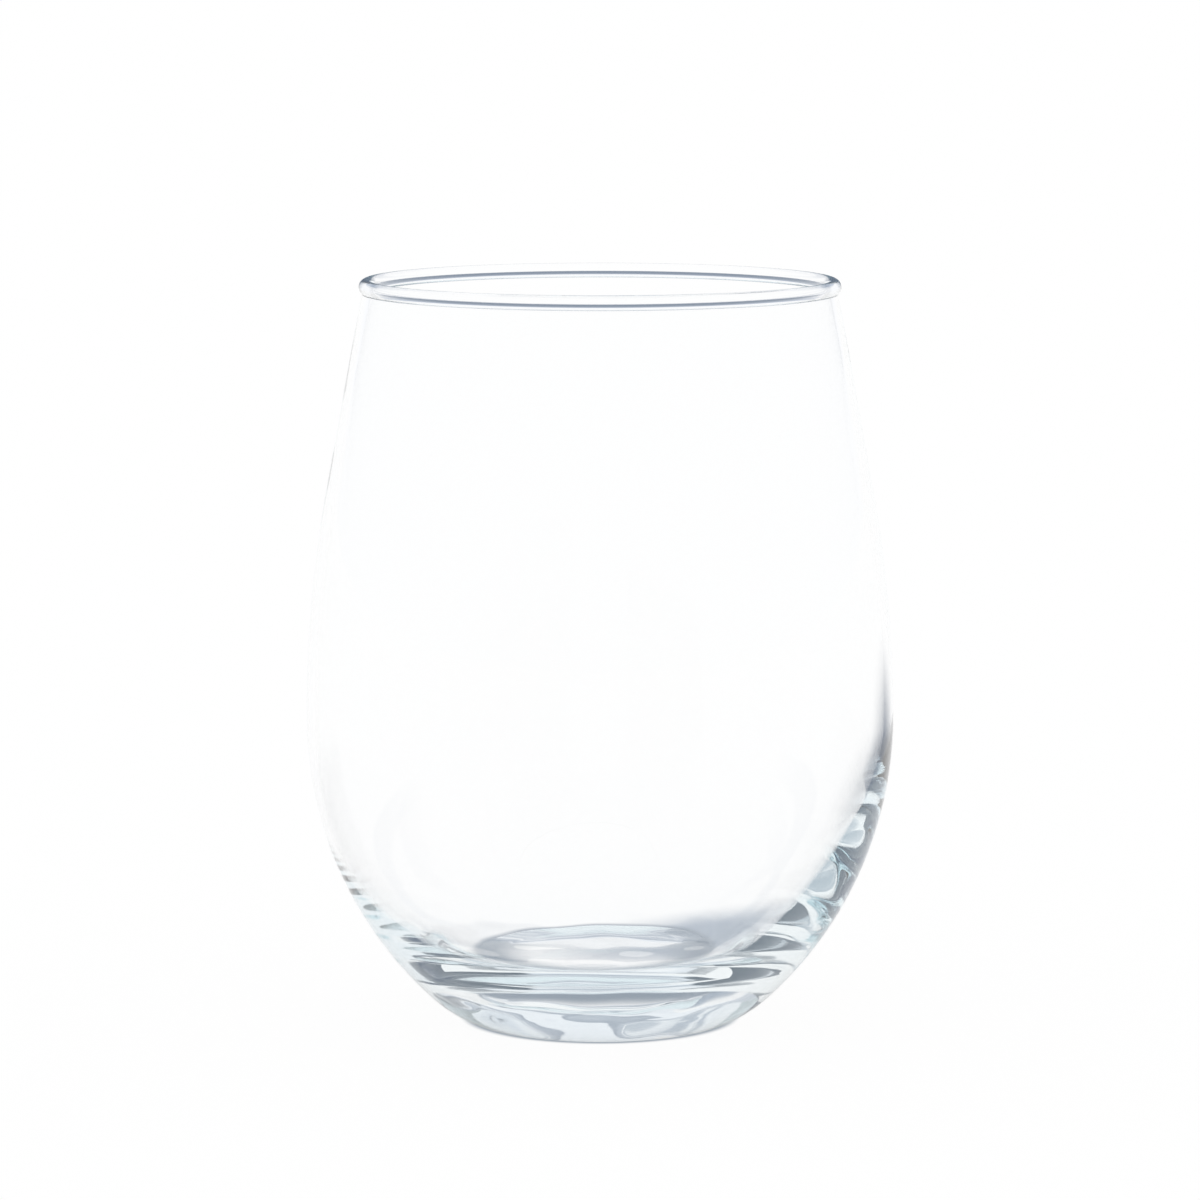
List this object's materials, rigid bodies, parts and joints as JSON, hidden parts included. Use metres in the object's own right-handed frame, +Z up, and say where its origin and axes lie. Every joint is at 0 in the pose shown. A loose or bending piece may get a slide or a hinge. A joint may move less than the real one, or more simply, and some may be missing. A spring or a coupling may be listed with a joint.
{
  "type": "stemless wine glass",
  "caption": "Clear stemless wine glass: egg-shaped bowl with a thin wall, a rounded rim bead and a thicker rounded base that stands on a flat foot ring; it holds a drink.",
  "frame": {"origin": "on the table plane at the centre of the foot, on the glass's axis of revolution", "axes": "+Z up along the axis of the glass, from the foot to the rim; -Y towards the camera of the picture; +X to the right"},
  "size_m": [0.092, 0.092, 0.1166],
  "materials": {
    "clear_glass": "polished"
  },
  "bodies": {
    "root": {"rim_bead": "clear_glass", "upper_wall": "clear_glass", "lower_bowl": "clear_glass", "thick_base": "clear_glass"}
  },
  "joints": []
}
